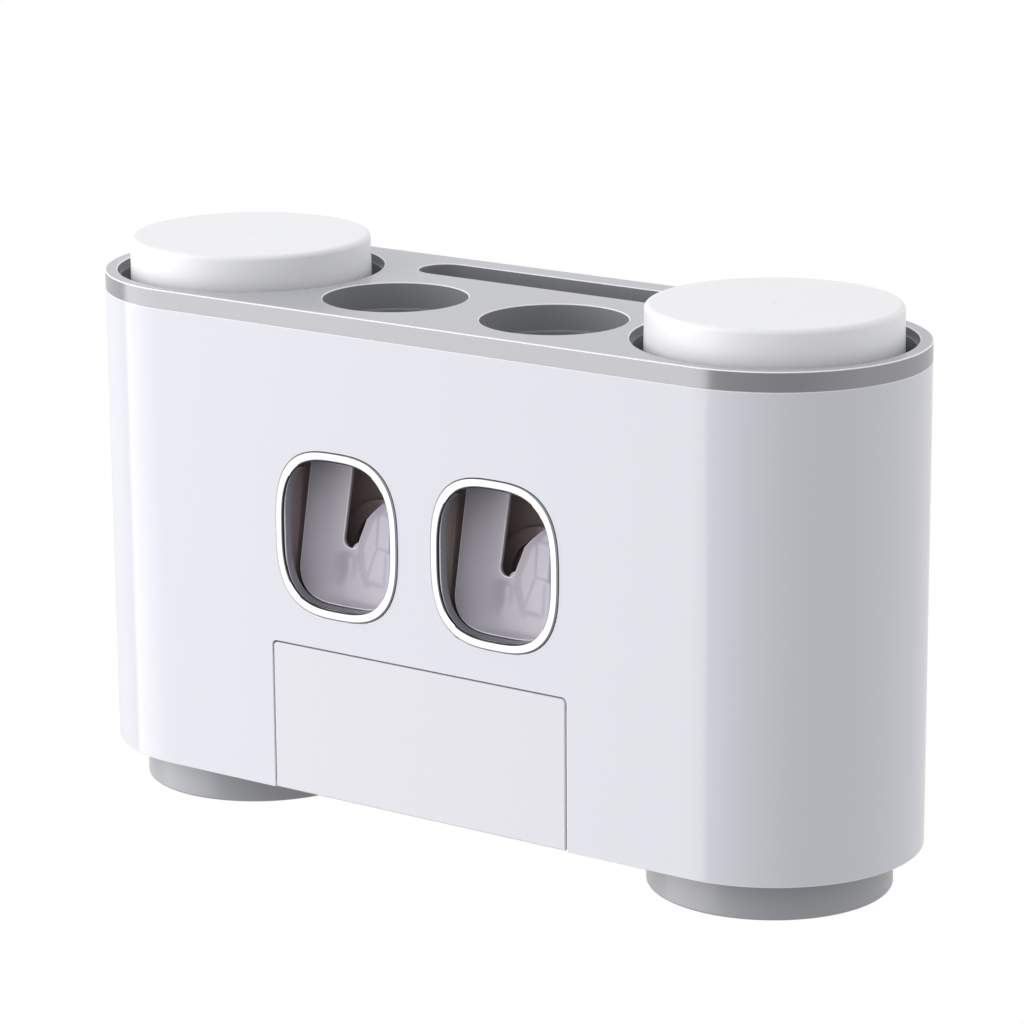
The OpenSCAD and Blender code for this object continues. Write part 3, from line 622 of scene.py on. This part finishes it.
def build_sleeves():
    """Stepped sleeves below the tube ports."""
    low = WINDOW_Z + PUMP_TOP - SLEEVE_SINK
    ledge = TOP_Z - LEDGE_DOWN
    outer = PORT_R + SLEEVE_WALL
    for name, side in SIDES:
        profile = [(outer, low), (outer, COVER_Z), (PORT_R, COVER_Z)]
        profile += [(PORT_R, ledge + 0.3)] + bend(PORT_R - 0.3, ledge + 0.3, 0.3, 0, -90, 3)
        profile += bend(PORT_R - 1.05 + 0.25, ledge - 0.25, 0.25, 90, 180, 3)
        profile += [(PORT_R - 1.05, ledge - 1.95)] + bend(PORT_R - 1.3, ledge - 1.95, 0.25, 0, -90, 3)
        profile += bend(PORT_R - 2.1 + 0.25, ledge - 2.45, 0.25, 90, 180, 3) + [(PORT_R - 2.1, low)]
        lathe(
            "port_sleeve_skin_" + name,
            "housing",
            profile,
            side * PORT_X,
            PORT_Y,
            0,
            # Darker grey on the sleeve walls: painted shade
            recess_grey,
            ["port_sleeve_" + name],
            sharp=50,
        )


# Rows of the ring's section with painted light: a painted shadow on the chamfer, a painted highlight on
# the edge below it
RING_SLOTS = {7: 1, 8: 2}


def build_rings():
    """Chrome window rings: a crowned face, a chamfer and a skirt."""
    section = [
        (0.0, 2.5, 0),
        (0.0, 0.25, 0),
        (0.03, -0.2, 0),
        (0.15, -0.42, 0),
        (0.4, -0.49, 0),
        (1.6, -0.5, 0),
        (2.3, -0.47, 0),
        (2.65, -0.36, 0),
        (3.15, 0.25, 0.5),
        (3.38, 0.55, 1),
        (3.45, 0.9, 1),
        (3.45, 3.6, 1),
        (2.05, 3.6, 1),
        (2.05, 2.5, 1),
    ]
    for name, side in SIDES:
        solid = Solid()
        rows = []
        for inset, depth, blend in section:
            n = RING_N + (RING_INNER_N - RING_N) * blend
            outline = squircle(RING_A - inset, RING_B - inset, n, 160)
            rows.append([(side * PORT_X + x, -BODY_D / 2 + depth, WINDOW_Z + z) for x, z in outline])
        for i, row in enumerate(rows):
            solid.slot = RING_SLOTS.get(i, 0)
            solid.bridge(row, rows[(i + 1) % len(rows)])
        replaced = ["window_ring_" + name]
        ring = make(solid, "ring_" + name, "housing", ring_chrome, replaced, sharp=50)
        # Painted shadow on the chamfer and painted highlight on the edge below it
        ring.data.materials.append(ring_painted_shadow)
        ring.data.materials.append(ring_painted_highlight)


# Width and radius of the door's hinge knuckles
KNUCKLE_W = 8.0
KNUCKLE_R = 2.1


def build_door():
    """Door panel with round corners and upper edge, side returns and hinge knuckles."""
    solid = Solid()
    r = 1.5
    outline = (
        [(-DOOR_HALF, 0.3)]
        + circle(-DOOR_HALF + r, DOOR_H - r, r, 6, 180, -90, closed=False)
        + circle(DOOR_HALF - r, DOOR_H - r, r, 6, 90, -90, closed=False)
        + [(DOOR_HALF, 0.3)]
    )
    front = -BODY_D / 2
    solid.sheet([xz(outline, front)])
    solid.sheet([xz(outline, front + DOOR_T)])
    solid.bridge(xz(outline, front), xz(outline, front + DOOR_T))
    piece = make(solid, "door_panel", "door", door_white, ["door"])
    round_edges(piece, 0.5, 4)
    back = Solid()
    for side in (-1, 1):
        xs = sorted((side * (DOOR_HALF - 2), side * (DOOR_HALF - 3.5)))
        back.block((xs[0], front + 2.1, 3), (xs[1], front + 5.8, 40.7))
        outer, inner = ((side * x, front + HINGE_IN, HINGE_Z) for x in (DOOR_HALF, DOOR_HALF - KNUCKLE_W))
        back.rod(outer, inner, KNUCKLE_R)
    back.block((-DOOR_HALF + 2, front + 2.1, 1.5), (DOOR_HALF - 2, front + 4.1, 2.9))
    inside = make(back, "door_back", "door", door_white, [])
    round_edges(inside, 0.25, 2)


# Scoop of a push lever, drawn upright in X, depth and Z from the window's centre
SCOOP_HALF = 21.05
SCOOP_RIM = 12.0
SCOOP_SAG = 5.5
SCOOP_FLOOR = -25.9
SCOOP_TOP = 27.0
SCOOP_WALL = 1.5
SCOOP_CORNER = 12.0
RIM_LEAN = math.radians(1.3)
SCOOP_R = (SCOOP_HALF**2 + SCOOP_SAG**2) / (2 * SCOOP_SAG)
SCOOP_AXIS = SCOOP_RIM + SCOOP_SAG - SCOOP_R
ARM_X = 18.0
NOTCH_CENTRE = (-3.5, -4.4)
NOTCH_RADIUS = 2.9
GRID_STEP = 0.7
GRID_ROW = 0.6
GRID_EDGE = 0.85


def ramp(value, low, high):
    t = min(1.0, max(0.0, (value - low) / (high - low)))
    return t * t * (3 - 2 * t)


def between(points, value):
    """Straight interpolation in a short row of (key, value) pairs."""
    for (a, va), (b, vb) in zip(points, points[1:]):
        if value <= b:
            return va + (vb - va) * max(0.0, (value - a) / (b - a))
    return points[-1][1]


def scoop_section(steps=24):
    """The scoop's middle section as rows of (path length, Z, radius)."""
    rows = [(0.0, SCOOP_FLOOR, SCOOP_R - SCOOP_SAG)]
    for i in range(1, steps + 1):
        t = math.pi / 2 * i / steps
        z = SCOOP_FLOOR + SCOOP_CORNER * (1 - math.cos(t))
        r = SCOOP_R - SCOOP_SAG + SCOOP_SAG * math.sin(t)
        rows.append((rows[-1][0] + math.hypot(z - rows[-1][1], r - rows[-1][2]), z, r))
    rows.append((rows[-1][0] + SCOOP_TOP - rows[-1][1], SCOOP_TOP, SCOOP_R))
    return rows


SECTION = scoop_section()
HEIGHT_ON_PATH = [(row[0], row[1]) for row in SECTION]
RADIUS_ON_PATH = [(row[0], row[2]) for row in SECTION]
PATH_AT_HEIGHT = [(row[1], row[0]) for row in SECTION]

# Left edge of the scoop's raised right half, as (Z, X)
RIDGE = [(-26, 4.0), (-17, 1.0), (-10, -1.0), (-5.7, -1.4), (-1.3, 0.2)]
RIDGE += [(3.2, 1.8), (6.2, 4.4), (9.6, 8.8), (12.2, 14.0)]


def relief(x, z):
    """How far the scoop's inner surface is raised towards the front."""
    edge = between(RIDGE, z)
    ridge = 1.6 * ramp(x, edge - 0.3, edge + 5.4) * ramp(z, -25, -13)
    valley = 1.1 * math.exp(-(((x + 4.4) / 3.0) ** 2)) * ramp(z, -24, -14) * ramp(-z, 7.3, 11.5)
    upper = ramp(x, 8.2, 10.2) * ramp(z, -6.6, -4.6)
    upper *= (1 - ramp(z, 5.4, 7.6)) * (1 - ramp(x, 15.6, 17.6))
    slant = 8.8 - 3.9 * (-5.8 - z) / 11.2
    lower = ramp(x, slant - 1.0, slant + 1.2) * (1 - ramp(z, -7.4, -5.4)) * ramp(z, -19.0, -16.0)
    lower *= 1 - ramp(x, 13.0, 15.0)
    return ridge * (1 - ramp(x, 15.0, 19.5)) + 0.8 * upper + 0.65 * lower - valley


def scoop_point(x, path, wall=0.0):
    z = between(HEIGHT_ON_PATH, path)
    r = between(RADIUS_ON_PATH, path) + wall
    if wall:
        z -= wall * ramp(SCOOP_FLOOR + SCOOP_CORNER - z, 0.0, SCOOP_CORNER)
    depth = SCOOP_AXIS + math.sqrt(max(0.0, r * r - x * x))
    return (x, depth - (0.0 if wall else relief(x, z)), z)


def rim_x(path):
    z = between(HEIGHT_ON_PATH, path)
    r = between(RADIUS_ON_PATH, path)
    reach = SCOOP_RIM + (z - SCOOP_FLOOR) * math.tan(RIM_LEAN) - SCOOP_AXIS
    return math.sqrt(max(0.0, r * r - reach * reach))


def scoop_outline():
    """Edge of the scoop as (X, path length): rim, low right ear and the notch for the nozzle."""
    total = SECTION[-1][0]
    paths = [total * (i / 60) ** 1.6 for i in range(61)]
    left = [(-rim_x(p), p) for p in reversed(paths)]
    right = [(rim_x(p), p) for p in paths]
    ear = [(ARM_X - 2.0, SCOOP_TOP), (ARM_X - 2.0, 14.0), (15.4, 12.7), (13.2, 11.9), (11.0, 10.7)]
    ear += [(8.8, 9.2), (6.2, 7.1), (4.2, 5.3), (2.9, 3.9), (2.2, 3.1)]
    ear += [(1.4, 0.8), (0.7, -1.2), (0.0, -2.9)]
    base = bend(*NOTCH_CENTRE, NOTCH_RADIUS, -20, -180, 12)
    rise = [(-6.0, 1.0), (-5.5, 8.0), (-5.0, 15.0), (-4.6, 21.5), (-4.5, SCOOP_TOP)]
    notch = [(x, between(PATH_AT_HEIGHT, z)) for x, z in ear + base + rise]
    return left + right[1:] + notch


def refine(points, step):
    """The same outline with points no farther apart than a step."""
    fine = []
    for i, (x, z) in enumerate(points):
        x2, z2 = points[(i + 1) % len(points)]
        count = max(1, math.ceil(math.hypot(x2 - x, z2 - z) / step))
        fine += [(x + (x2 - x) * k / count, z + (z2 - z) * k / count) for k in range(count)]
    return fine


def build_lever(name, side):
    """Push lever: scoop with its notch, two arms with bosses, and the pusher."""
    solid = Solid()
    outline = refine(scoop_outline(), GRID_STEP)
    grid = [
        (-20.8 + GRID_STEP * (i + j % 2 / 2), GRID_ROW * (j + 0.5))
        for i in range(60)
        for j in range(96)
    ]
    grid = [p for p in grid if min(math.dist(p, q) for q in outline) > GRID_EDGE]
    points = [Vector(p) for p in outline + grid]
    border = list(range(len(outline)))
    verts, edges, faces = delaunay_2d_cdt(points, [], [border], 1, 1e-5)[:3]
    for wall in (0.0, SCOOP_WALL):
        layer = [scoop_point(v.x, v.y, wall) for v in verts]
        for tri in faces:
            solid.face(solid.loop([layer[i] for i in tri]))
    inner, outer = ([scoop_point(x, p, wall) for x, p in outline] for wall in (0.0, SCOOP_WALL))
    solid.bridge(inner, outer)

    def place(x, depth, z):
        lean = math.radians(LEVER_LEAN)
        d, h = depth - PIN_DEPTH, z - PIN_UP
        y = PIN_DEPTH + d * math.cos(lean) + h * math.sin(lean)
        up = PIN_UP - d * math.sin(lean) + h * math.cos(lean)
        return at(side * PORT_X + x, -BODY_D / 2 + y, WINDOW_Z + up)

    body = "push_lever_" + name
    scoop = make(solid, "scoop_" + name, body, lever_lilac, [body], place=place, sharp=50)
    # The bevelled rim takes the pale finish: painted highlight
    round_edges(scoop, 0.4, 3, 55, edge=lever_rim_highlight)
    arms = Solid()
    front = SCOOP_RIM + 2.3
    for arm in (-1, 1):
        x = arm * ARM_X
        arms.block((x - 1.5, front, 16), (x + 1.5, front + 3.1, 26.5))
        arms.rod((x - 1.5, PIN_DEPTH, PIN_UP), (x + 1.5, PIN_DEPTH, PIN_UP), 3.6)
        arms.rod((arm * 16.2, PIN_DEPTH, PIN_UP), (arm * 24.2, PIN_DEPTH, PIN_UP), 3.55)
        arms.block((x - 1.45, front + 0.1, 24), (x + 1.45, PIN_DEPTH + 2, PIN_UP))
    arms.rod((0, SCOOP_RIM + SCOOP_SAG + 0.7, -9), (0, 23.9, -9), 4)
    backs = make(arms, "lever_arms_" + name, body, lever_lilac, [], place=place)
    round_edges(backs, 0.3, 2)


def build_bulbs():
    """Pump bulbs, copied from their CAD parts onto the housing."""
    for name, side in SIDES:
        node = nodes["pump_bulb_" + name]
        mesh = node.data.copy()
        mesh.transform(node.matrix_world)
        bulb = bpy.data.objects.new("bulb_" + name, mesh)
        bpy.context.scene.collection.objects.link(bulb)
        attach(bulb, "housing")
        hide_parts("pump_bulb_" + name)
        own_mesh(bulb)


build_shell()
build_surround()
build_cover()
build_cups()
build_sleeves()
build_rings()
build_door()
build_bulbs()
for name, side in SIDES:
    build_lever(name, side)


def area_light(name, corner, along, up, radiance, colour):
    """A softbox: a rectangle from its lower corner, in metres, that faces the object."""
    corner, along, up = Vector(corner), Vector(along), Vector(up)
    centre = corner + along / 2 + up / 2
    facing = along.cross(up).normalized()
    if facing.dot(-centre) < 0:
        facing = -facing
    data = bpy.data.lights.new(name, "AREA")
    data.shape = "RECTANGLE"
    data.size = along.length
    data.size_y = up.length
    data.energy = radiance * math.pi * along.length * up.length
    data.color = colour
    lamp = bpy.data.objects.new(name, data)
    x_axis = along.normalized()
    z_axis = -facing
    y_axis = z_axis.cross(x_axis)
    lamp.matrix_world = Matrix.Translation(centre) @ Matrix(
        (
            (x_axis.x, y_axis.x, z_axis.x),
            (x_axis.y, y_axis.y, z_axis.y),
            (x_axis.z, y_axis.z, z_axis.z),
        )
    ).to_4x4()
    lamp.visible_camera = False
    bpy.context.scene.collection.objects.link(lamp)


def build_world():
    """Surroundings: dim on the front right, brighter on the left, bright behind and above."""
    world = bpy.data.worlds.new("studio")
    bpy.context.scene.world = world
    world.use_nodes = True
    tree = world.node_tree
    tree.nodes.clear()
    place = add_node(tree, "ShaderNodeTexCoord")
    split = add_node(tree, "ShaderNodeSeparateXYZ")
    tree.links.new(place.outputs["Generated"], split.inputs[0])
    x, y, z = (Term(tree, split.outputs[i]) for i in range(3))
    azimuth = x.angle_to(-y)
    left = ((-azimuth - 1.25) / 0.4).clamped()
    behind = ((azimuth - 0.85) / 0.9).clamped()
    level = 0.50 + 0.46 * left + 0.50 * behind
    above = ((z - 0.4) / 0.5).clamped()
    level = level + (0.86 - level) * above
    below = ((-z - 0.1) / 0.6).clamped()
    level = level * (1.0 - 0.4 * below)
    rays = add_node(tree, "ShaderNodeLightPath")
    seen = Term(tree, rays.outputs["Is Camera Ray"])
    mixed = add_node(tree, "ShaderNodeMixShader", sockets={0: seen})
    for slot, colour, strength in ((1, (0.985, 0.985, 1.0, 1.0), level), (2, (1.0, 1.0, 1.0, 1.0), 1.0)):
        sockets = {"Color": colour, "Strength": strength}
        light = add_node(tree, "ShaderNodeBackground", sockets=sockets)
        tree.links.new(light.outputs[0], mixed.inputs[slot])
    out = add_node(tree, "ShaderNodeOutputWorld")
    tree.links.new(mixed.outputs[0], out.inputs[0])


build_world()
area_light(
    "key_softbox",
    corner=(-0.647, -2.585, -1.35),
    along=(-1.896, 2.044, 0),
    up=(0, 0, 3.45),
    radiance=2.15,
    colour=(1.0, 0.995, 1.0),
)

# Camera, fitted to the photograph
AZIMUTH = math.radians(35.575)
ELEVATION = math.radians(15.16)
ROLL = math.radians(-0.45)
DISTANCE = 1412.382
AIM_Z = 159.795 / 2
IMAGE = 1024
FOCAL_PIXELS = 4221.846
CENTRE_X = 503.655
CENTRE_Y = 552.391
back = Vector(
    (
        math.sin(AZIMUTH) * math.cos(ELEVATION),
        -math.cos(AZIMUTH) * math.cos(ELEVATION),
        math.sin(ELEVATION),
    )
)
level_right = Vector((math.cos(AZIMUTH), math.sin(AZIMUTH), 0))
level_up = back.cross(level_right)
right = level_right * math.cos(ROLL) + level_up * math.sin(ROLL)
up = level_up * math.cos(ROLL) - level_right * math.sin(ROLL)
eye = at(*(Vector((0, 0, AIM_Z)) + back * DISTANCE))
camera_data = bpy.data.cameras.new("camera")
camera_data.sensor_width = 36.0
camera_data.lens = FOCAL_PIXELS * camera_data.sensor_width / IMAGE
camera_data.shift_x = 0.5 - CENTRE_X / IMAGE
camera_data.shift_y = CENTRE_Y / IMAGE - 0.5
camera_data.clip_start = 0.05
camera_data.clip_end = 20.0
camera = bpy.data.objects.new("camera", camera_data)
camera.matrix_world = Matrix(
    (
        (right.x, up.x, back.x, eye.x),
        (right.y, up.y, back.y, eye.y),
        (right.z, up.z, back.z, eye.z),
        (0, 0, 0, 1),
    )
)
bpy.context.scene.collection.objects.link(camera)
bpy.context.scene.camera = camera
bpy.context.scene.view_settings.view_transform = "Standard"
